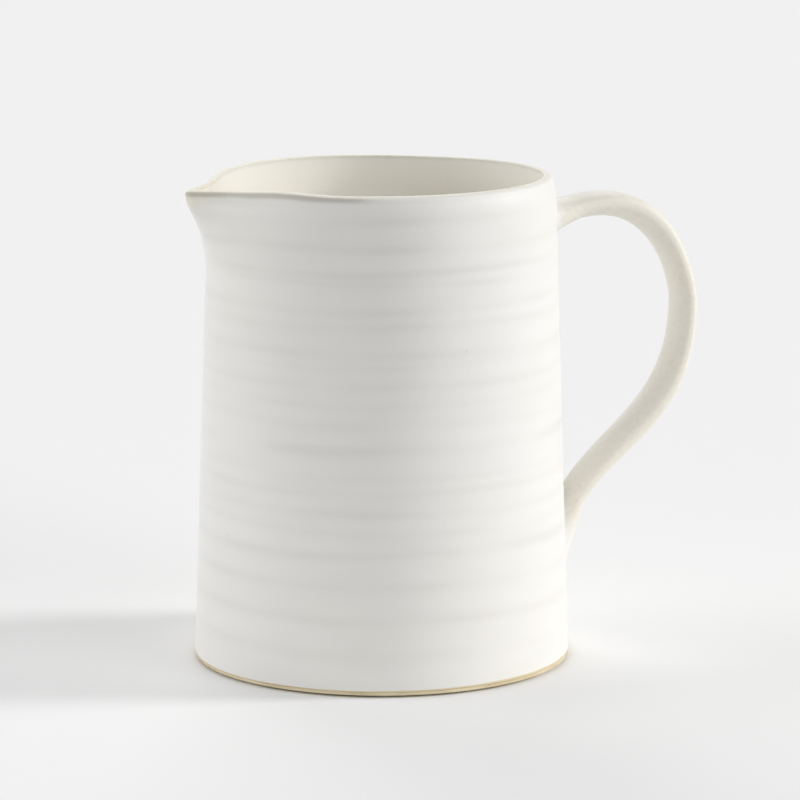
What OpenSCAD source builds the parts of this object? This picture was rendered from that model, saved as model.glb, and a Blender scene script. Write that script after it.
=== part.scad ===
// Thrown stoneware pitcher with a pulled spout and a pulled strap handle.
// Z is up and the origin is the middle of the foot, on the surface it stands on.
// The spout points along -X and the handle along +X.

/* [Body] */
// Height of the rim above the foot
rim_height = 197; // [190:1:204]
// Outer radius of the wall at its foot
base_radius = 76.3; // [74.3:0.5:78.3]
// Loss of radius for each millimetre of height
wall_taper = 0.0335; // [0.03:0.0005:0.036]
// Thickness of the thrown wall
wall_thickness = 4.5; // [4:0.25:5]
// Thickness of the floor
floor_thickness = 6; // [5:0.5:8]
// Radius of the curve where the floor meets the wall inside
inside_fillet = 9; // [6:1:14]

/* [Foot] */
// Height of the bare foot ring
foot_height = 2.25; // [1.5:0.25:3]
// Width of the bare foot ring
foot_width = 9; // [7:0.5:12]
// How far the underside of the floor is trimmed above the ring's face
foot_recess = 1.25; // [0.75:0.25:1.25]

/* [Rim and spout] */
// Height of the upper band that carries the rim and the spout
band_height = 42; // [40:1:44]
// Thickness of the lip
lip_thickness = 3.8; // [3.2:0.2:4.4]
// Round of the lip's outer edge
lip_outer_round = 2.4; // [1.6:0.1:2.6]
// Round of the lip's inner edge
lip_inner_round = 0.6; // [0.4:0.1:1]
// How far the rim leans in
lip_roll = 2.2; // [1:0.2:3]
// Height over which the rim leans in
roll_height = 9; // [7:1:11]
// How far the tip of the spout stands out from the rim
spout_reach = 14.7; // [9:0.1:16]
// How far the tip of the spout lies below the rim
spout_drop = 3.2; // [1:0.2:5]
// How far down the wall the spout's flare runs
spout_depth = 36; // [30:1:38]
// Angle from the tip in which the lip falls back by two thirds
spout_spread = 5.3; // [4.5:0.1:7]
// How many times wider the flare is where it dies out in the wall
spout_widening = 6.8; // [4:0.2:8]
// Angle each side of the spout over which the rim dips
dip_spread = 27; // [20:1:34]

/* [Handle] */
// Reach of the strap's centre line from the pitcher's axis
handle_reach = 132; // [129:0.5:136]
// Height at which the strap's centre line is furthest out
handle_waist = 139; // [136:0.5:142]
// Width of the strap
strap_width = 19.6; // [18:0.2:23]
// Thickness of the strap at its waist
strap_thickness = 9; // [8:0.2:10]
// How much thicker the strap is at its shoulder, over the top
shoulder_swell = 2.5; // [0:0.1:3]
// How much thicker the strap is at its elbow, where it turns in to the wall
elbow_swell = 2.4; // [0:0.1:3]
// Width that each joint adds on the wall, all round the strap
joint_spread = 4; // [3:0.5:5]

/* [Hidden] */

clay = "#d8cbad";
glaze = "#eeece6";
liner = "#e6e3d9";
$fn = 120;

band_base = rim_height - band_height;
foot_chamfer = 0.8;
floor_top = foot_recess + floor_thickness;
rows = 11;          // rows of points up each face of the upper band
lip_rows = 4;       // rows of points over each round of the lip
band_sides = 144;   // points round the upper band
crowding = 0.4;     // their spacing at the spout's tip, as a share of the mean spacing
strap_sides = 32;   // points round the strap
strap_steps = 52;   // rings along the strap
joint_steps = 8;    // rings from the strap to the wall
tip_round = 2.5;    // angle each side of the spout's tip over which it is round
seat_rings = 3;     // rings across a joint's seat on the wall
seat_gap = 0.01;    // keeps the flat facets of a seat from cutting into the wall

// The strap's centre line, in the XZ plane: two Bezier curves that meet at the waist
upper_curve = [[67.5, 174.5], [123.5, 200.5],
               [handle_reach, handle_waist + 5.5], [handle_reach, handle_waist]];
lower_curve = [[handle_reach, handle_waist], [handle_reach, handle_waist - 57.5],
               [86, 85], [76, 42]];
// Places along the strap run from 0 to 1 on the upper curve and from 1 to 2 on the lower
upper_root = 0.11;
lower_root = 1.84;
shoulder_place = 0.36;
elbow_place = 1.41;
swell_length = 0.27;
// Seat of each joint on the wall: height of its middle, and half its height
upper_seat = [176, 5 + joint_spread];
lower_seat = [38.5, 15.5 + joint_spread];
// How far each joint holds on to the strap's direction, and to the wall's, as it turns
upper_pull = 7.5;
lower_pull = 8;

function wall_radius(z) = base_radius - wall_taper * z;
function bore_radius(z) = wall_radius(z) - wall_thickness;

// ---- foot, floor and wall: turned shapes ----

module foot_ring() {
    outer = wall_radius(foot_height) - 0.4;
    inner = outer - foot_width;
    color(clay)
    rotate_extrude()
    polygon([[inner + foot_chamfer, 0], [outer - foot_chamfer, 0],
             [outer, foot_chamfer], [outer, foot_height],
             [inner, foot_height], [inner, foot_chamfer]]);
}

// The floor rests on the ring, hangs a little way into it, and curves up to the wall.
module floor() {
    edge = bore_radius(foot_height);
    ring = wall_radius(foot_height) - 0.4 - foot_width;
    curve_top = floor_top + inside_fillet;
    color(liner)
    rotate_extrude()
    polygon(concat(
        [[0, foot_recess], [ring, foot_recess], [ring, foot_height],
         [edge, foot_height], [bore_radius(curve_top), curve_top]],
        [for (a = [10 : 10 : 90])
            [bore_radius(curve_top) - inside_fillet * (1 - cos(a)),
             curve_top - inside_fillet * sin(a)]],
        [[0, floor_top]]));
}

module wall() {
    color(glaze)
    rotate_extrude()
    polygon([[bore_radius(foot_height), foot_height], [wall_radius(foot_height), foot_height],
             [wall_radius(band_base), band_base], [bore_radius(band_base), band_base]]);
}

// ---- rim and spout ----

function lean(z) = lip_roll * pow(max(0, z - rim_height + roll_height) / roll_height, 2);
lip_base = rim_height - lip_outer_round;
lip_edge = wall_radius(lip_base) - lean(lip_base);
lip_inside = lip_edge - lip_thickness;

// Up the outer face, over the lip and down the inner face, as [radius, height]
rim_profile = concat(
    [for (i = [0 : rows]) let (z = band_base + (lip_base - band_base) * i / rows)
        [wall_radius(z) - lean(z), z]],
    [for (i = [1 : lip_rows]) let (a = 90 * i / lip_rows)
        [lip_edge - lip_outer_round * (1 - cos(a)), rim_height - lip_outer_round * (1 - sin(a))]],
    [for (i = [0 : lip_rows - 1]) let (a = 90 * i / lip_rows)
        [lip_inside + lip_inner_round * (1 - sin(a)), rim_height - lip_inner_round * (1 - cos(a))]],
    [for (i = [rows : -1 : 0])
        let (k = i / rows, z = band_base + (rim_height - lip_inner_round - band_base) * k,
             inner = bore_radius(z) + (lip_inside - bore_radius(rim_height)) * pow(k, 3))
        [inner, z]]);

// The spout at a place on the rim: a is the angle from its tip, z the plain height.
// The tip itself is round, over tip_round degrees each side.
function off_tip(a) = sqrt(a * a + tip_round * tip_round) - tip_round;
function fade(z) = max(0, 1 - (rim_height - z) / spout_depth);
function spread(z) = spout_spread * (1 + (spout_widening - 1) * (1 - fade(z)));
function flare(a, z) = spout_reach * pow(fade(z), 1.4) * exp(-off_tip(a) / spread(z));
function dip(a, z) = spout_drop * fade(z) * exp(-off_tip(a) / dip_spread);

// Angle from the tip to point j of a ring, with the points closer together near the tip
function off_angle(j) = let (k = 2 * j / band_sides - 1)
    180 * k * (crowding + (1 - crowding) * k * k);

function rim_point(p, a) =
    let (r = p[0] + flare(a, p[1]))
    [-r * cos(a), -r * sin(a), p[1] - dip(a, p[1])];

module rim_and_spout() {
    n = band_sides;
    m = len(rim_profile);
    color(glaze)
    polyhedron(
        points = [for (p = rim_profile) for (j = [0 : n - 1]) rim_point(p, off_angle(j))],
        faces = [for (i = [0 : m - 1]) for (j = [0 : n - 1])
            let (a = i * n + j, b = i * n + (j + 1) % n,
                 c = ((i + 1) % m) * n + (j + 1) % n, d = ((i + 1) % m) * n + j)
            each [[a, c, b], [a, d, c]]]);
}

// ---- handle ----

function bezier(p, t) = pow(1 - t, 3) * p[0] + 3 * t * pow(1 - t, 2) * p[1]
    + 3 * t * t * (1 - t) * p[2] + pow(t, 3) * p[3];
function bezier_way(p, t) = pow(1 - t, 2) * (p[1] - p[0]) + 2 * t * (1 - t) * (p[2] - p[1])
    + t * t * (p[3] - p[2]);

function strap_middle(u) = u < 1 ? bezier(upper_curve, u) : bezier(lower_curve, u - 1);
function heading(u) =
    let (d = u < 1 ? bezier_way(upper_curve, u) : bezier_way(lower_curve, u - 1))
    d / norm(d);
function swell(u, place) = exp(-pow((u - place) / swell_length, 2));
function thickness(u) = strap_thickness + shoulder_swell * swell(u, shoulder_place)
    + elbow_swell * swell(u, elbow_place);

// One oval ring of the strap, square to its centre line
function strap_ring(u) =
    let (p = strap_middle(u), d = heading(u))
    [for (j = [0 : strap_sides - 1])
        let (turn = 360 * j / strap_sides, s = thickness(u) / 2 * sin(turn))
        [p[0] - d[1] * s, strap_width / 2 * cos(turn), p[1] + d[0] * s]];

// Side faces of a stack of m rings
function ring_faces(m) = [for (i = [0 : m - 2]) for (j = [0 : strap_sides - 1])
    let (n = strap_sides, a = i * n + j, b = i * n + (j + 1) % n,
         c = (i + 1) * n + (j + 1) % n, d = (i + 1) * n + j)
    each [[a, c, b], [a, d, c]]];
first_cap = [for (j = [0 : strap_sides - 1]) j];

module handle_strap() {
    rings = [for (i = [0 : strap_steps])
        strap_ring(upper_root + (lower_root - upper_root) * i / strap_steps)];
    last = (len(rings) - 1) * strap_sides;
    color(glaze)
    polyhedron(
        points = [for (r = rings) each r],
        faces = concat([first_cap], ring_faces(len(rings)),
                       [[for (j = [strap_sides - 1 : -1 : 0]) last + j]]));
}

// A point of a joint's seat on the wall, at share k of the way out from its middle
function seat_point(seat, way, u, k) =
    let (z = seat[0] + way * seat[1] * k * sin(u),
         r = wall_radius(z) + seat_gap,
         a = (strap_width / 2 + joint_spread) * k * cos(u) / r * 180 / PI)
    [r * cos(a), r * sin(a), z];

function hermite(p, dp, q, dq, s) = (1 + 2 * s) * pow(1 - s, 2) * p + s * pow(1 - s, 2) * dp
    + s * s * (3 - 2 * s) * q + s * s * (s - 1) * dq;

// Clay worked round a root of the strap: from the strap's last ring, out along the wall.
// way is +1 where the strap's outer face is uppermost, and -1 where it is lowest.
module handle_joint(ring, toward_wall, seat, way, pull) {
    sides = [for (i = [0 : joint_steps]) [for (j = [0 : strap_sides - 1])
        let (u = 360 * j / strap_sides, q = seat_point(seat, way, u, 1),
             out = q - seat_point(seat, way, u, 0.8))
        hermite(ring[j], toward_wall * pull, q, out / norm(out) * pull, i / joint_steps)]];
    floor_rings = [for (k = [seat_rings : -1 : 1]) [for (j = [0 : strap_sides - 1])
        seat_point(seat, way, 360 * j / strap_sides, k / (seat_rings + 1))]];
    rings = concat(sides, floor_rings);
    last = (len(rings) - 1) * strap_sides;
    middle = len(rings) * strap_sides;
    color(glaze)
    polyhedron(
        points = concat([for (r = rings) each r], [seat_point(seat, way, 0, 0)]),
        faces = concat([first_cap], ring_faces(len(rings)),
            [for (j = [0 : strap_sides - 1])
                [last + (j + 1) % strap_sides, last + j, middle]]));
}

module upper_handle_joint() {
    d = heading(upper_root);
    handle_joint(strap_ring(upper_root), [-d[0], 0, -d[1]], upper_seat, 1, upper_pull);
}

module lower_handle_joint() {
    d = heading(lower_root);
    handle_joint(strap_ring(lower_root), [d[0], 0, d[1]], lower_seat, -1, lower_pull);
}

foot_ring();
floor();
wall();
rim_and_spout();
handle_strap();
upper_handle_joint();
lower_handle_joint();
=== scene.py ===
import bmesh
import bpy
import math
from mathutils import Matrix, Vector, noise


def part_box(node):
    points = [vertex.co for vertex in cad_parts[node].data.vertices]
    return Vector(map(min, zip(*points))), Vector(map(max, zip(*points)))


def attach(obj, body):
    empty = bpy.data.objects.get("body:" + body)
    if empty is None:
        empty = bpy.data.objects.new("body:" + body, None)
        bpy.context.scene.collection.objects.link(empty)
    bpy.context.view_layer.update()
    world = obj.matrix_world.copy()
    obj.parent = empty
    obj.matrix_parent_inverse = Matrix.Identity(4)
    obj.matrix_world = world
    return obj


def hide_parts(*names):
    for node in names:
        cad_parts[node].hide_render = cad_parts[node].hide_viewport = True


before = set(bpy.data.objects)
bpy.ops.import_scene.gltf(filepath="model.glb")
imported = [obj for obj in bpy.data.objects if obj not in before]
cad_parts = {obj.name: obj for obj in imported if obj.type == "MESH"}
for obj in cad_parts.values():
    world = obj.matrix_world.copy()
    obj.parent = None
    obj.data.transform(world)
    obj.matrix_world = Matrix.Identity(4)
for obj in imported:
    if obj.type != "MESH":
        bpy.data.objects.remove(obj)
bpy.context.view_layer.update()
print("frame loaded")


cameraSetup = {
    "turn": math.radians(19.5),      # how far round towards the spout side
    "distance": 1.6966,
    "height": 0.4192,
    "tilt": math.radians(10.5),
    "swing": math.radians(0.25),
    "roll": math.radians(0.06),
    "lens": 191.8,
    "sensor": 36,
}


def addCamera(setup):
    bpy.ops.object.select_all(action="DESELECT")
    bpy.ops.object.camera_add()
    camera = bpy.context.object
    camera.name = "camera"
    camera.data.lens = setup["lens"]
    camera.data.sensor_width = setup["sensor"]
    camera.matrix_world = (
        Matrix.Rotation(-setup["turn"], 4, "Z")
        @ Matrix.Translation((0, -setup["distance"], setup["height"]))
        @ Matrix.Rotation(-setup["swing"], 4, "Z")
        @ Matrix.Rotation(math.pi / 2 - setup["tilt"], 4, "X")
        @ Matrix.Rotation(setup["roll"], 4, "Z")
    )
    bpy.context.scene.camera = camera


addCamera(cameraSetup)


class Wire:
    # a socket that can be added, subtracted and multiplied like a number
    def __init__(self, finish, socket):
        self.finish = finish
        self.socket = socket

    def maths(self, operation, first, second):
        return self.finish.node("Math", {"operation": operation}, {0: first, 1: second})

    def __add__(self, other):
        return self.maths("ADD", self, other)

    def __sub__(self, other):
        return self.maths("SUBTRACT", self, other)

    def __rsub__(self, other):
        return self.maths("SUBTRACT", other, self)

    def __mul__(self, other):
        return self.maths("MULTIPLY", self, other)

    __radd__ = __add__
    __rmul__ = __mul__


class Finish:
    # a material, with one way to add any node to it
    def __init__(self, name):
        self.material = bpy.data.materials.new(name)
        self.material.use_nodes = True
        self.tree = self.material.node_tree
        self.surface = self.tree.nodes["Principled BSDF"]
        self.place = self.node("TexCoord", output="Object")

    def node(self, kind, settings={}, sockets={}, output=0):
        new = self.tree.nodes.new("ShaderNode" + kind)
        for name, value in settings.items():
            setattr(new, name, value)
        self.feed(new, sockets)
        return Wire(self, new.outputs[output])

    def feed(self, node, sockets):
        for name, value in sockets.items():
            if isinstance(value, Wire):
                self.tree.links.new(value.socket, node.inputs[name])
            else:
                node.inputs[name].default_value = value

    def noise(self, scale, detail=2, roughness=0.5):
        sockets = {"Vector": self.place, "Scale": scale, "Detail": detail, "Roughness": roughness}
        return self.node("TexNoise", {}, sockets)

    def ramp(self, value, low, high):
        sockets = {"Value": value, "From Min": low, "From Max": high}
        return self.node("MapRange", {"interpolation_type": "SMOOTHSTEP"}, sockets)

    def blend(self, share, first, second):
        sockets = {0: share, 6: first, 7: second}
        return self.node("Mix", {"data_type": "RGBA"}, sockets, 2)

    def cells(self, scale):
        return self.node("TexVoronoi", {}, {"Vector": self.place, "Scale": scale})

    def axis(self, name):
        return self.node("SeparateXYZ", {}, {0: self.place}, name)

    def bump(self, height, strength, depth):
        return self.node("Bump", {}, {"Height": height, "Strength": strength, "Distance": depth})

    def attribute(self, name):
        return self.node("Attribute", {"attribute_name": name}, {}, "Fac")


def paint(red, green, blue):
    # a paint chip's 0 to 255 values, as the shader's linear ones
    return tuple((value / 255) ** 2.2 for value in (red, green, blue)) + (1,)


# Noises are given by scale, detail and roughness, and fades by where they begin and end
glazeLook = {
    "white": paint(232, 231, 228),
    "cream": paint(233, 227, 212),
    "lining": paint(244, 241, 232),
    "breakAndShade": paint(150, 142, 128),      # darker glaze where it breaks thin, and painted shade along the lip's edges and in the throwing rings
    "speck": paint(176, 160, 128),
    "clay": paint(212, 198, 165),
    "drift": (9, 3),                    # slow drift from white to cream
    "driftFade": (0.3, 0.75),
    "driftShare": 0.25,
    "mottle": (60, 4, 0.6),
    "creamMottle": 0.35,                # how much the mottle breaks up the edge of thin glaze
    "creamFade": (0.1, 0.9),
    "blotch": (520, 4, 0.65),           # darker blotches where the glaze is thin
    "blotchFade": (0.45, 0.7),
    "blotchShare": 0.16,
    # painted shade along the lip's edges: how the mottle breaks it up, its fade and its share
    "lipShadeMottle": 0.5,
    "lipShadeFade": (0.1, 0.95),
    "lipShadeShare": 0.5,
    "ringShare": 0.08,                  # how much painted shade darkens the throwing rings' grooves
    "specks": 150,
    "speckFade": (0.05, 0.12),
    "speckPatch": (70, 1),              # specks lie only in a few patches
    "patchFade": (0.62, 0.7),
    "speckShare": 0.35,
    "foot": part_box("wall")[0].z,
    "wipeTilt": 0.007,                  # wiped off a little higher on the handle's side
    "wipeMottle": 0.0006,
    "wipeFade": (0.0005, 0.001),        # heights above the foot between which the glaze begins
    "skin": (420, 3, 0.55),             # orange peel
    "pits": 300,                        # pinholes
    "pitFade": (0.03, 0.16),
    "skinRelief": 0.5,
    "mottleRelief": 0.6,
    "pitRelief": 0.8,
    "bumpStrength": 0.18,
    "bumpDepth": 0.0002,
    "roughness": 0.5,
    "mottleRoughness": 0.14,
    "thinRoughness": 0.06,
    "refraction": 1.5,
    "specular": 0.35,
}


def makeGlaze(look):
    finish = Finish("whiteGlaze")
    drift = finish.noise(*look["drift"])
    mottle = finish.noise(*look["mottle"])
    uneven = mottle - 0.5
    skin = finish.noise(*look["skin"])
    thin = finish.attribute("thinGlaze")
    lining = finish.attribute("lining")
    lipShadeMark = finish.attribute("lipShadeLine")
    rings = finish.attribute("ringShade")
    pits = 1 - finish.ramp(finish.cells(look["pits"]), *look["pitFade"])
    rare = finish.ramp(finish.noise(*look["speckPatch"]), *look["patchFade"])
    speck = (1 - finish.ramp(finish.cells(look["specks"]), *look["speckFade"])) * rare

    colour = finish.blend(lining, look["white"], look["lining"])
    drifted = finish.ramp(drift, *look["driftFade"]) * look["driftShare"]
    colour = finish.blend(drifted, colour, look["cream"])
    creamy = finish.ramp(thin + uneven * look["creamMottle"], *look["creamFade"])
    colour = finish.blend(creamy, colour, look["cream"])
    blotch = finish.ramp(finish.noise(*look["blotch"]), *look["blotchFade"])
    colour = finish.blend(blotch * thin * look["blotchShare"], colour, look["breakAndShade"])
    # painted shade along the lip's inner edge and under its outer round beside the spout
    paintedLipShade = finish.ramp(lipShadeMark + uneven * look["lipShadeMottle"], *look["lipShadeFade"])
    colour = finish.blend(paintedLipShade * look["lipShadeShare"], colour, look["breakAndShade"])
    # painted shade in the throwing rings' grooves
    colour = finish.blend(rings * look["ringShare"], colour, look["breakAndShade"])
    colour = finish.blend(speck * look["speckShare"], colour, look["speck"])
    height = finish.axis("Z") + uneven * look["wipeMottle"]
    height -= finish.axis("X") * look["wipeTilt"]
    bareUpTo, glazedFrom = (look["foot"] + rise for rise in look["wipeFade"])
    bare = 1 - finish.ramp(height, bareUpTo, glazedFrom)
    colour = finish.blend(bare, colour, look["clay"])

    relief = skin * look["skinRelief"] + mottle * look["mottleRelief"] - pits * look["pitRelief"]
    roughness = look["roughness"] + uneven * look["mottleRoughness"]
    finish.feed(finish.surface, {
        "Base Color": colour,
        "Roughness": roughness + thin * look["thinRoughness"],
        "Normal": finish.bump(relief, look["bumpStrength"], look["bumpDepth"]),
        "IOR": look["refraction"],
        "Specular IOR Level": look["specular"],
    })
    return finish.material


clayLook = {
    "light": paint(224, 211, 181),
    "dark": paint(200, 184, 150),
    "grog": paint(150, 126, 92),
    "drift": (35, 4, 0.6),
    "driftFade": (0.3, 0.7),
    "grogFade": (0.45, 0.6),      # grog shows only where the clay is darker
    "grogShare": 0.5,
    "grit": 700,
    "gritFade": (0.08, 0.22),
    "gritRelief": 0.5,
    "grain": (900, 3, 0.6),
    "grainRoughness": 0.12,
    "bumpStrength": 0.5,
    "bumpDepth": 0.0002,
    "roughness": 0.82,
    "specular": 0.3,
}


def makeClay(look):
    finish = Finish("bareClay")
    drift = finish.noise(*look["drift"])
    grain = finish.noise(*look["grain"])
    dot = 1 - finish.ramp(finish.cells(look["grit"]), *look["gritFade"])
    grog = dot * finish.ramp(drift, *look["grogFade"]) * look["grogShare"]
    colour = finish.blend(finish.ramp(drift, *look["driftFade"]), look["light"], look["dark"])
    relief = grain + dot * look["gritRelief"]
    finish.feed(finish.surface, {
        "Base Color": finish.blend(grog, colour, look["grog"]),
        "Roughness": look["roughness"] + grain * look["grainRoughness"],
        "Normal": finish.bump(relief, look["bumpStrength"], look["bumpDepth"]),
        "Specular IOR Level": look["specular"],
    })
    return finish.material


whiteGlaze = makeGlaze(glazeLook)
bareClay = makeClay(clayLook)
print("finishes mixed")


floorThickness = 0.006
pot = {
    "rim": 0.197,
    "bandBase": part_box("wall")[1].z,
    "foot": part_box("wall")[0].z,
    "footRadius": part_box("wall")[1].x,
    "footWidth": 0.009,
    "taper": 0.0335,
    "thickness": 0.0045,
    "steps": 240,              # steps round the wheel
    "crowding": 0.4,           # spacing of the steps at the spout, against the mean
    "lip": 0.0038,
    "outerRound": 0.0024,      # rounds of the lip's two edges
    "innerRound": 0.0006,
    "lean": 0.0022,            # how far the rim leans in
    "leanHeight": 0.009,
    "spoutReach": 0.0152,
    "spoutDrop": 0.0032,
    "spoutDepth": 0.036,
    "spoutSpread": math.radians(5.3),
    "spoutWidening": 6.8,
    "spoutCurve": 1.4,
    "tipRound": math.radians(2.5),
    "dipSpread": math.radians(27),
    "recess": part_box("floor")[0].z,
    "floorTop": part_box("floor")[0].z + floorThickness,
    "fillet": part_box("floor")[1].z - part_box("floor")[0].z - floorThickness,
    "collarDepth": 0.0003,     # groove under the lip beside the spout
    "collarDrop": 0.0028,      # how far it lies below the rim
    "collarWidth": 0.0011,
    "besideSpout": math.radians(76),    # where the groove and the painted shade under the lip die out
    "besideFade": math.radians(20),
    "waveDepth": 0.03,         # how far down the rim's unevenness reaches
    "glazeEdge": 0.0005,       # round of the glaze above the foot
    "weld": 0.000001,          # points closer than this become one
    "smooth": math.radians(40),    # edges flatter than this are shaded smooth
}

# Spacing of the rows of points up each face
rowSpacing = {
    "wallOutside": 0.00125, "wallInside": 0.0025,
    "rimOutside": 0.001, "rimInside": 0.0015, "floor": 0.003,
}

# How many steps each round and each flat of the outlines takes
outlineSteps = {
    "glazeEdge": 6, "outerLip": 9, "innerLip": 5,
    "underside": 10, "ledge": 2, "fillet": 10, "floor": 14,
}

# Where the glaze thins and where shade is painted along the lip, each with how far it spreads
thinSpots = {
    "shadeDrop": 0.0011,       # painted shade on the outside of the lip, below the rim
    "shadeAbove": 0.0006,
    "shadeBelow": 0.0016,
    "crest": 0.0016,           # over the top of the rim
    "crestShare": 0.6,
    "tipArc": math.radians(9),
    "tipDepth": 0.012,
    "innerEdgeShade": 0.0009,       # painted shade round the lip's inner edge
    "innerShadeShare": 0.4,
}

# Where round the rim it is uneven, over how wide an arc, and by how much
rimWaves = [(35, 13, 0.00088), (-125, 35, -0.0008)]

# Height of each throwing ring, its width and its share of the deepest
throwingRings = [
    (0.187, 2.2, 0.6), (0.176, 2.4, 1), (0.1665, 1.8, 0.9), (0.162, 1.5, 0.6),
    (0.152, 2.2, 0.9), (0.1455, 2, 0.8), (0.1345, 2.2, 0.8), (0.1305, 1.4, 0.5),
    (0.123, 2, 0.7), (0.1155, 1.8, 0.4), (0.107, 2.4, 0.4), (0.097, 2.4, 1),
    (0.087, 1.8, 0.4), (0.081, 1.8, 0.8), (0.0725, 2, 0.8), (0.0645, 1.8, 0.5),
    (0.0555, 2.4, 1.1), (0.043, 2.4, 1), (0.03, 2.6, 1), (0.016, 3, 0.5),
]

ringStyle = {
    "depth": 0.0002,           # deepest throwing ring
    "unit": 0.0009,            # half width of a ring whose width is 1
    "reach": 3,                # half widths beyond which a ring is left out
    "wobble": ((0.0007, 1, 900), (0.0003, 3, 500)),    # rise, waves round, shift with height
    "side": math.radians(70),  # where round the pot they are deepest
    "plain": 0.55,
    "sideGain": 0.35,
    "patchGain": 1.3,
    "patches": (2.2, 130),     # how fine the patches are, round the pot and up it
    "least": 0.1,
    "most": 1.4,
    "ground": 0.2,             # faint unevenness between the rings
    "groundGain": 0.35,
    "groundPatches": (3, 150),
    "fade": 0.008,             # below the rim, where they die out
    "footGap": 0.0001,         # they begin this far above the wall's foot
    "lipShare": 0.6,           # and end this far down the lip's outer round
}


def wallRadius(z):
    return pot["footRadius"] - pot["taper"] * (z - pot["foot"])


def clamp(value, most=1):
    return min(most, max(0, value))


def lean(z):
    rise = max(0, z - pot["rim"] + pot["leanHeight"]) / pot["leanHeight"]
    return pot["lean"] * rise ** 2


def patchNoise(angle, z, around, up):
    return noise.noise(Vector((math.cos(angle) * around, math.sin(angle) * around, z * up)))


def ringShare(angle, z):
    # depth of the throwing rings from 0 to about 1, broken up round the pot
    style = ringStyle
    depth = 0
    for middle, width, share in throwingRings:
        tilt = sum(rise * math.sin(waves * angle + middle * shift)
                   for rise, waves, shift in style["wobble"])
        away = (z - middle - tilt) / (width * style["unit"])
        if abs(away) < style["reach"]:
            strength = (style["plain"] + style["sideGain"] * math.cos(angle - style["side"])
                        + style["patchGain"] * patchNoise(angle, middle, *style["patches"]))
            depth += share * max(style["least"], strength) * math.exp(-away * away)
    depth += style["ground"] + style["groundGain"] * patchNoise(angle, z, *style["groundPatches"])
    return clamp(depth, style["most"]) * clamp((pot["rim"] - z) / style["fade"])


def besideSpout(angle):
    return clamp((pot["besideSpout"] - abs(angle)) / pot["besideFade"])


def collar(angle, z):
    # groove under the lip on both sides of the spout, 0 to 1
    away = (z - pot["rim"] + pot["collarDrop"]) / pot["collarWidth"]
    return besideSpout(angle) * math.exp(-away * away)


def underLipShade(angle, drop):
    # painted shade on the outer round of the lip, 0 to 1
    away = drop - thinSpots["shadeDrop"]
    away /= thinSpots["shadeAbove"] if away < 0 else thinSpots["shadeBelow"]
    return besideSpout(angle) * math.exp(-away * away)


def rimWave(angle, z):
    # a hand-thrown rim is never quite level
    fade = max(0, 1 - (pot["rim"] - z) / pot["waveDepth"])
    lift = 0
    for middle, width, height in rimWaves:
        away = math.remainder(angle - math.radians(middle), 2 * math.pi) / math.radians(width)
        lift += height * math.exp(-away * away)
    return lift * fade ** 2


def outerRadius(angle, z):
    return (wallRadius(z) - lean(z) - ringStyle["depth"] * ringShare(angle, z)
            - pot["collarDepth"] * collar(angle, z))


def steps(first, last, count):
    return [first + (last - first) * i / count for i in range(count + 1)]


def rowsBetween(low, high, spacing, hug=0.00015):
    # heights from low to high, with one row close to each end
    inner = steps(low + hug, high - hug, max(1, round((high - low) / spacing)))
    return [low] + inner + [high]


def offTip(angle):
    return math.hypot(angle, pot["tipRound"]) - pot["tipRound"]


def shapeSpout(angle, radius, z):
    # pulls the lip out and down at the spout; the lip's round goes out in one piece
    fade = max(0, 1 - (pot["rim"] - z) / pot["spoutDepth"])
    if not fade:
        return radius, z
    pull = min(fade, 1 - pot["outerRound"] / pot["spoutDepth"])
    spread = pot["spoutSpread"] * (1 + (pot["spoutWidening"] - 1) * (1 - pull))
    off = offTip(angle)
    radius += pot["spoutReach"] * pull ** pot["spoutCurve"] * math.exp(-off / spread)
    z -= pot["spoutDrop"] * fade * math.exp(-off / pot["dipSpread"])
    return radius, z


def turnOutline(name, outline):
    # one point is drawn out along the outline, then spun about the axis
    bpy.ops.object.select_all(action="DESELECT")
    bpy.ops.mesh.primitive_plane_add(size=0.001, location=(0, 0, 0))
    piece = bpy.context.object
    piece.name = name
    bpy.ops.object.mode_set(mode="EDIT")
    bpy.ops.mesh.merge(type="CENTER")
    bpy.ops.transform.translate(value=(outline[0][0], 0, outline[0][1]))
    for here, there in zip(outline, outline[1:]):
        step = (there[0] - here[0], 0, there[1] - here[1])
        bpy.ops.mesh.extrude_region_move(TRANSFORM_OT_translate={"value": step})
    bpy.ops.mesh.select_all(action="SELECT")
    bpy.ops.mesh.spin(steps=pot["steps"], angle=2 * math.pi, center=(0, 0, 0), axis=(0, 0, 1))
    bpy.ops.mesh.select_all(action="SELECT")
    bpy.ops.mesh.remove_doubles(threshold=pot["weld"])
    bpy.ops.mesh.normals_make_consistent(inside=False)
    bpy.ops.object.mode_set(mode="OBJECT")
    return piece


def addMarks(piece):
    # one value a point for each thing the glaze's colour follows
    names = ("thinGlaze", "lining", "lipShadeLine", "ringShade")
    for name in names:
        piece.data.attributes.new(name, "FLOAT", "POINT")
    return {name: piece.data.attributes[name] for name in names}


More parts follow.
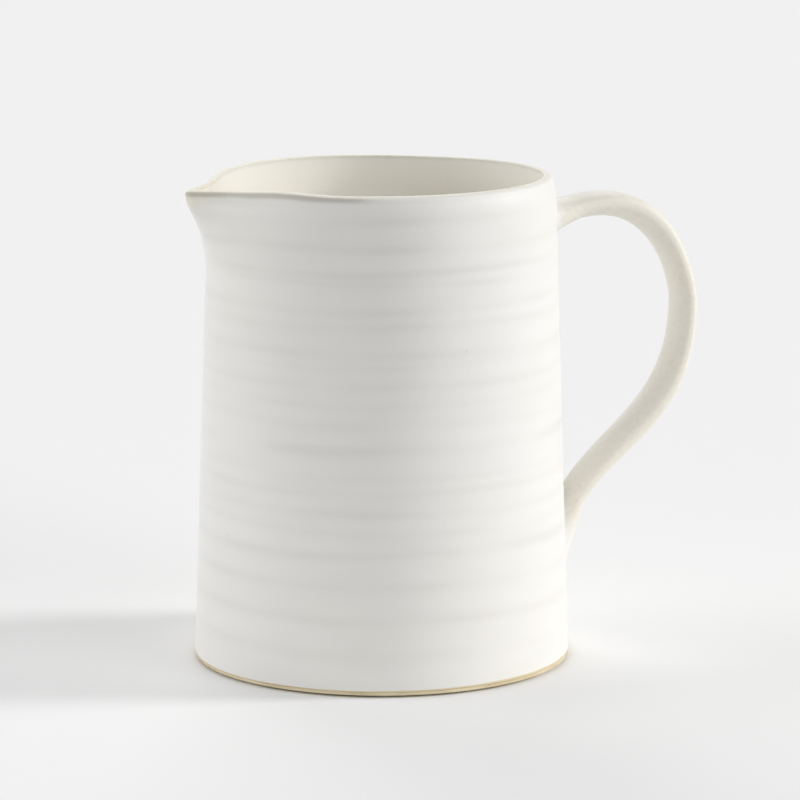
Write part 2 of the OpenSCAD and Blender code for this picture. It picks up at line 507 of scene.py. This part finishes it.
def shapePot(piece):
    # closes the steps up round the spout, then works the rings and the spout into the clay
    marks = addMarks(piece)
    for index, point in enumerate(piece.data.vertices):
        x, y, z = point.co
        radius = math.hypot(x, y)
        share = math.atan2(-y, -x) / math.pi
        angle = math.pi * share * (pot["crowding"] + (1 - pot["crowding"]) * share ** 2)
        middle = wallRadius(z) - lean(z) - pot["thickness"] * 0.5
        inside = clamp((middle - radius) / pot["thickness"] + 0.5)
        drop = pot["rim"] - z
        rings, groove = 0, 0
        aboveFoot = z > pot["foot"] + ringStyle["footGap"]
        if radius > middle and aboveFoot and drop > pot["outerRound"] * ringStyle["lipShare"]:
            rings, groove = ringShare(angle, z), collar(angle, z)
        crest = max(0, 1 - drop / thinSpots["crest"])
        tip = math.exp(-offTip(angle) / thinSpots["tipArc"]) * max(0, 1 - drop / thinSpots["tipDepth"])
        # painted shade along the lip's inner edge and under its outer round beside the spout
        corner = math.hypot(radius - lipInside(), drop - pot["innerRound"]) / thinSpots["innerEdgeShade"]
        innerEdgeShade = math.exp(-corner ** 2) if inside > 0.5 else 0
        outerEdgeShade = underLipShade(angle, drop) if inside < 0.5 else 0
        marks["thinGlaze"].data[index].value = min(1, crest * thinSpots["crestShare"] + tip)
        marks["lining"].data[index].value = inside
        marks["lipShadeLine"].data[index].value = max(innerEdgeShade * thinSpots["innerShadeShare"], outerEdgeShade)
        marks["ringShade"].data[index].value = rings
        radius -= ringStyle["depth"] * rings + pot["collarDepth"] * groove
        radius, z = shapeSpout(angle, radius, z + rimWave(angle, z))
        point.co = (-radius * math.cos(angle), -radius * math.sin(angle), z)
    piece.data.update()


def finishPiece(piece, material, slot, *nodes):
    bpy.ops.object.select_all(action="DESELECT")
    piece.select_set(True)
    bpy.context.view_layer.objects.active = piece
    bpy.ops.object.transform_apply()
    bpy.ops.object.shade_smooth_by_angle(angle=pot["smooth"])
    piece.data.materials.clear()
    piece.data.materials.append(material)
    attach(piece, "root")
    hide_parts(*nodes)


def boreRadius(z):
    return wallRadius(z) - pot["thickness"]


def makeWall():
    edge = pot["glazeEdge"]
    low, high = pot["foot"], pot["bandBase"]
    outline = [(boreRadius(low), low)]
    for turn in steps(-90, 0, outlineSteps["glazeEdge"]):
        outline.append((
            wallRadius(low + edge) - edge + edge * math.cos(math.radians(turn)),
            low + edge + edge * math.sin(math.radians(turn)),
        ))
    outside = rowsBetween(low + edge, high, rowSpacing["wallOutside"])
    outline += [(wallRadius(z), z) for z in outside[1:]]
    outline += [(boreRadius(z), z) for z in reversed(rowsBetween(low, high, rowSpacing["wallInside"]))]
    wall = turnOutline("thrownWall", outline)
    shapePot(wall)
    finishPiece(wall, whiteGlaze, "white_glaze", "wall")


def lipEdge():
    base = pot["rim"] - pot["outerRound"]
    return wallRadius(base) - lean(base)


def lipInside():
    return lipEdge() - pot["lip"]


def outerLip():
    # quarter round from the outer face to the top of the lip
    size = pot["outerRound"]
    turns = [math.radians(turn) for turn in steps(0, 90, outlineSteps["outerLip"])]
    return [(lipEdge() - size * (1 - math.cos(t)), pot["rim"] - size * (1 - math.sin(t)))
            for t in turns]


def innerLip():
    # small round from the top of the lip to the inner face
    size = pot["innerRound"]
    turns = [math.radians(turn) for turn in steps(0, 90, outlineSteps["innerLip"])]
    return [(lipInside() + size * (1 - math.sin(t)), pot["rim"] - size * (1 - math.cos(t)))
            for t in turns]


def makeRim():
    low = pot["bandBase"]
    outer, inner = outerLip(), innerLip()
    outside = rowsBetween(low, outer[0][1], rowSpacing["rimOutside"])
    outline = [(wallRadius(z) - lean(z), z) for z in outside]
    outline += outer[1:]
    outline.append(((outer[-1][0] + inner[0][0]) / 2, pot["rim"]))
    outline += inner
    top = inner[-1][1]
    narrowing = inner[-1][0] - boreRadius(pot["rim"])
    for z in reversed(rowsBetween(low, top, rowSpacing["rimInside"])[:-1]):
        outline.append((boreRadius(z) + narrowing * ((z - low) / (top - low)) ** 3, z))
    outline.append(outline[0])
    rim = turnOutline("rimAndSpout", outline)
    shapePot(rim)
    finishPiece(rim, whiteGlaze, "white_glaze", "rim_and_spout")


def makeFloor():
    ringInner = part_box("foot_ring")[1].x - pot["footWidth"]
    curveTop = pot["floorTop"] + pot["fillet"]
    outline = [(r, pot["recess"]) for r in steps(0, ringInner, outlineSteps["underside"])]
    outline += [(ringInner, pot["foot"])]
    ledge = steps(ringInner, boreRadius(pot["foot"]), outlineSteps["ledge"])
    outline += [(r, pot["foot"]) for r in ledge[1:]]
    sides = rowsBetween(pot["foot"], curveTop, rowSpacing["floor"])
    outline += [(boreRadius(z), z) for z in sides[1:]]
    for turn in steps(0, 90, outlineSteps["fillet"])[1:]:
        outline.append((
            boreRadius(curveTop) - pot["fillet"] * (1 - math.cos(math.radians(turn))),
            curveTop - pot["fillet"] * math.sin(math.radians(turn)),
        ))
    flat = steps(outline[-1][0], 0, outlineSteps["floor"])
    outline += [(r, pot["floorTop"]) for r in flat[1:]]
    floor = turnOutline("potFloor", outline)
    shapePot(floor)
    finishPiece(floor, whiteGlaze, "liner_glaze", "floor")


makeWall()
makeRim()
makeFloor()
print("pot thrown")


footSizes = {
    "radius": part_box("foot_ring")[1].x,
    "height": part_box("foot_ring")[1].z,
    "width": pot["footWidth"],
    "toe": 0.0009,        # how far the edges of the underside stand clear of the table
    "setBack": 0.0035,    # width of the slope inside each edge
    "bevel": 0.0002,
    "bevelSteps": 3,
    "level": 0.9,         # how near to upright the normal of a level face is
    "under": 0.99,
    "levelGap": 0.0001,
    "sharpAngle": 1,      # in radians
}


def makeFootRing(sizes):
    bpy.ops.object.select_all(action="DESELECT")
    bpy.ops.mesh.primitive_cylinder_add(
        vertices=pot["steps"], radius=sizes["radius"], depth=sizes["height"] - sizes["toe"],
        location=(0, 0, (sizes["height"] + sizes["toe"]) / 2))
    ring = bpy.context.object
    ring.name = "footRing"
    bpy.ops.object.mode_set(mode="EDIT")
    selectFaces(ring, lambda face: abs(face.normal.z) > sizes["level"])
    bpy.ops.mesh.inset(thickness=sizes["width"])
    bpy.ops.mesh.delete(type="FACE")
    inner = sizes["radius"] - sizes["width"] * 0.5
    selectEdges(ring, lambda edge: widest(edge) < inner)
    bpy.ops.mesh.bridge_edge_loops()
    bpy.ops.mesh.select_all(action="SELECT")
    bpy.ops.mesh.normals_make_consistent(inside=False)
    selectEdges(ring, sharp)
    bpy.ops.mesh.bevel(offset=sizes["bevel"], segments=sizes["bevelSteps"])
    selectFaces(ring, lambda face: face.normal.z < -sizes["under"])
    bpy.ops.mesh.inset(thickness=sizes["setBack"])
    bpy.ops.transform.translate(value=(0, 0, -sizes["toe"]))
    bpy.ops.mesh.select_all(action="SELECT")
    bpy.ops.mesh.normals_make_consistent(inside=False)
    bpy.ops.object.mode_set(mode="OBJECT")
    finishPiece(ring, bareClay, "bare_clay", "foot_ring")


def sharp(edge):
    level = abs(edge.verts[0].co.z - edge.verts[1].co.z) < footSizes["levelGap"]
    return level and len(edge.link_faces) == 2 and edge.calc_face_angle() > footSizes["sharpAngle"]


def widest(edge):
    return max(math.hypot(*point.co.xy) for point in edge.verts)


def selectFaces(piece, test):
    select(piece, "faces", test)


def selectEdges(piece, test):
    select(piece, "edges", test)


def select(piece, part, test):
    bpy.ops.mesh.select_all(action="DESELECT")
    mesh = bmesh.from_edit_mesh(piece.data)
    mesh.select_mode = {"EDGE"} if part == "edges" else {"FACE"}
    for item in getattr(mesh, part):
        item.select_set(test(item))
    bmesh.update_edit_mesh(piece.data)


makeFootRing(footSizes)
print("foot ring trimmed")


handle = {
    "upper": [Vector(p) for p in
              ((0.0675, 0, 0.1745), (0.1235, 0, 0.2005), (0.132, 0, 0.1445), (0.132, 0, 0.139))],
    "lower": [Vector(p) for p in
              ((0.132, 0, 0.139), (0.132, 0, 0.0815), (0.086, 0, 0.085), (0.076, 0, 0.042))],
    "upperRoot": 0.11,         # places along the strap: 0 to 1 above the waist, 1 to 2 below
    "lowerRoot": 1.84,
    "width": 0.0196,
    "thickness": 0.009,
    "swells": ((0.36, 0.0025), (1.41, 0.0024)),    # shoulder and elbow: place, and what it adds
    "swellLength": 0.27,
    "backSquare": 3.0,         # how square the outer side's corners are; 2 is an oval
    "backShare": 0.82,         # how much flatter the outer side is than the inner one
    "spread": 0.004,           # what each joint adds on the wall, all round the strap
    "sides": 64,
    "steps": 90,
    "endRow": 0.004,           # how close the second ring lies to each end of the strap
    "upperSeat": (0.176, 0.009),    # height of a joint's middle on the wall, and half its height
    "lowerSeat": (0.0385, 0.0195),
    "upperPull": 0.0075,
    "lowerPull": 0.008,
    "jointSteps": 24,
    "seatShares": (0.8, 0.6, 0.4, 0.2),    # rings across a joint's hidden side
    "seatDepth": 0.001,        # how far the hidden side lies inside the wall
    "sink": 0.00006,
    "wallFade": 0.006,         # over how far from the wall the glaze gets thinner
    "thinGlaze": 0.5,
    "thinEdge": 0.15,          # how much thinner it is along the strap's two edges
    "edgePower": 4,
}


def curveAt(place):
    if place < 1:
        return handle["upper"], place
    return handle["lower"], place - 1


def strapMiddle(place):
    (a, b, c, d), t = curveAt(place)
    s = 1 - t
    return s ** 3 * a + 3 * t * s * s * b + 3 * t * t * s * c + t ** 3 * d


def heading(place):
    (a, b, c, d), t = curveAt(place)
    s = 1 - t
    return (s * s * (b - a) + 2 * t * s * (c - b) + t * t * (d - c)).normalized()


def strapThickness(place):
    thickness = handle["thickness"]
    for middle, extra in handle["swells"]:
        thickness += extra * math.exp(-((place - middle) / handle["swellLength"]) ** 2)
    return thickness


def strapPoint(place, turn):
    # a point of the strap's section, square to its line: oval inside, squarer outside
    ahead = heading(place)
    outward = Vector((-ahead.z, 0, ahead.x)) * strapThickness(place) / 2
    across = Vector((0, handle["width"] / 2, 0))
    wide, deep = math.cos(turn), math.sin(turn)
    if deep > 0:
        power = 2 / handle["backSquare"]
        deep = handle["backShare"] * deep ** power
        wide = math.copysign(abs(wide) ** power, wide)
    return strapMiddle(place) + across * wide + outward * deep


def rollGrid(name, rings, place):
    # a flat grid rolled into a tube: place gives the point at a ring and a turn
    sides = handle["sides"]
    bpy.ops.object.select_all(action="DESELECT")
    bpy.ops.mesh.primitive_grid_add(x_subdivisions=rings - 1, y_subdivisions=sides, size=1)
    piece = bpy.context.object
    piece.name = name
    for point in piece.data.vertices:
        ring = round((point.co.x + 0.5) * (rings - 1))
        side = round((point.co.y + 0.5) * sides) % sides
        point.co = place(ring, 2 * math.pi * side / sides)
    bpy.ops.object.mode_set(mode="EDIT")
    bpy.ops.mesh.select_all(action="SELECT")
    bpy.ops.mesh.remove_doubles(threshold=pot["weld"])
    bpy.ops.mesh.select_all(action="DESELECT")
    bpy.ops.mesh.select_mode(type="EDGE")
    bpy.ops.mesh.select_non_manifold()
    bpy.ops.mesh.edge_face_add()
    bpy.ops.mesh.select_all(action="SELECT")
    bpy.ops.mesh.normals_make_consistent(inside=False)
    bpy.ops.object.mode_set(mode="OBJECT")
    return piece


def markGlaze(piece):
    # the glaze lies thinner on the handle, most of all along the strap's two edges
    marks = addMarks(piece)
    for index, point in enumerate(piece.data.vertices):
        radius = math.hypot(point.co.x, point.co.y)
        offWall = clamp((radius - wallRadius(point.co.z)) / handle["wallFade"])
        edge = min(1, abs(point.co.y) / (handle["width"] / 2)) ** handle["edgePower"]
        thin = handle["thinGlaze"] + handle["thinEdge"] * edge
        marks["thinGlaze"].data[index].value = offWall * thin


def makeStrap():
    first, last = handle["upperRoot"], handle["lowerRoot"]
    places = rowsBetween(first, last, (last - first) / handle["steps"], handle["endRow"])
    strap = rollGrid("handleStrap", len(places), lambda ring, turn: strapPoint(places[ring], turn))
    markGlaze(strap)
    finishPiece(strap, whiteGlaze, "white_glaze", "handle_strap")


def seatPoint(seat, way, turn, share):
    z = seat[0] + way * seat[1] * share * math.sin(turn)
    arc = (handle["width"] / 2 + handle["spread"]) * share * math.cos(turn)
    angle = arc / wallRadius(z)
    radius = outerRadius(math.pi - angle, z) - handle["sink"]
    return Vector((radius * math.cos(angle), radius * math.sin(angle), z))


def makeJoint(name, node, root, way, seat, pull):
    # clay worked round a root of the handle, running out flush on the wall;
    # way is 1 where the strap's outer side is uppermost, and -1 where it is lowest
    towards = heading(root) * -way
    eases = [0.5 - 0.5 * math.cos(math.pi * share) for share in steps(0, 1, handle["jointSteps"])]
    shares = handle["seatShares"]
    inward = Vector((handle["seatDepth"], 0, 0))

    def place(ring, turn):
        if ring >= len(eases):
            return seatPoint(seat, way, turn, shares[ring - len(eases)]) - inward
        s = eases[ring]
        start = strapPoint(root, turn)
        end = seatPoint(seat, way, turn, 1)
        away = (end - seatPoint(seat, way, turn, shares[0])).normalized()
        return ((1 + 2 * s) * (1 - s) ** 2 * start + s * (1 - s) ** 2 * towards * pull
                + s * s * (3 - 2 * s) * end + s * s * (s - 1) * away * pull)

    joint = rollGrid(name, len(eases) + len(shares), place)
    markGlaze(joint)
    finishPiece(joint, whiteGlaze, "white_glaze", node)


makeStrap()
makeJoint("upperHandleJoint", "upper_handle_joint", handle["upperRoot"], 1,
          handle["upperSeat"], handle["upperPull"])
makeJoint("lowerHandleJoint", "lower_handle_joint", handle["lowerRoot"], -1,
          handle["lowerSeat"], handle["lowerPull"])
print("handle pulled")


stageSetup = {
    "floorSize": 14,
    "floorFront": 0.28,       # from the pot to the front edge of the table
    "floorShade": paint(245, 245, 245),
    "floorRoughness": 0.9,
    "sky": 0.45,
    "suns": {
        "keyLight": {"strength": 1.64, "rise": 23, "turn": 4, "spread": 16},
        "fillLight": {"strength": 1.53, "rise": 10, "turn": 174, "spread": 45},
        "backLight": {"strength": 0.9, "rise": 28, "turn": 105, "spread": 45},
        "frontLight": {"strength": 0.7, "rise": 20, "turn": 318, "spread": 35},
    },
}


def makeStage(setup, cameraTurn):
    back = setup["floorSize"] / 2 - setup["floorFront"]
    bpy.ops.object.select_all(action="DESELECT")
    bpy.ops.mesh.primitive_plane_add(
        size=setup["floorSize"], rotation=(0, 0, -cameraTurn),
        location=(back * math.sin(cameraTurn), back * math.cos(cameraTurn), 0))
    floor = bpy.context.object
    floor.name = "studioFloor"
    finish = Finish("studioPaper")
    finish.feed(finish.surface, {
        "Base Color": setup["floorShade"],
        "Roughness": setup["floorRoughness"],
        "Specular IOR Level": 0,
    })
    floor.data.materials.append(finish.material)


def addSun(name, sun, cameraTurn):
    # turn 0 is the camera's right, and 90 is behind the pot
    rise = math.radians(sun["rise"])
    turn = math.radians(sun["turn"]) - cameraTurn
    across = math.cos(rise)
    direction = Vector((across * math.cos(turn), across * math.sin(turn), math.sin(rise)))
    bpy.ops.object.light_add(type="SUN", location=direction)
    light = bpy.context.object
    light.name = name
    light.rotation_euler = direction.to_track_quat("Z", "Y").to_euler()
    light.data.energy = sun["strength"]
    light.data.angle = math.radians(sun["spread"])


def makeSky(setup):
    world = bpy.data.worlds.new("studio")
    bpy.context.scene.world = world
    world.use_nodes = True
    backdrop = world.node_tree.nodes["Background"]
    backdrop.inputs["Color"].default_value = (1, 1, 1, 1)
    backdrop.inputs["Strength"].default_value = setup["sky"]


makeStage(stageSetup, cameraSetup["turn"])
makeSky(stageSetup)
for name, sun in stageSetup["suns"].items():
    addSun(name, sun, cameraSetup["turn"])
bpy.context.scene.view_settings.view_transform = "Standard"
print("stage lit")
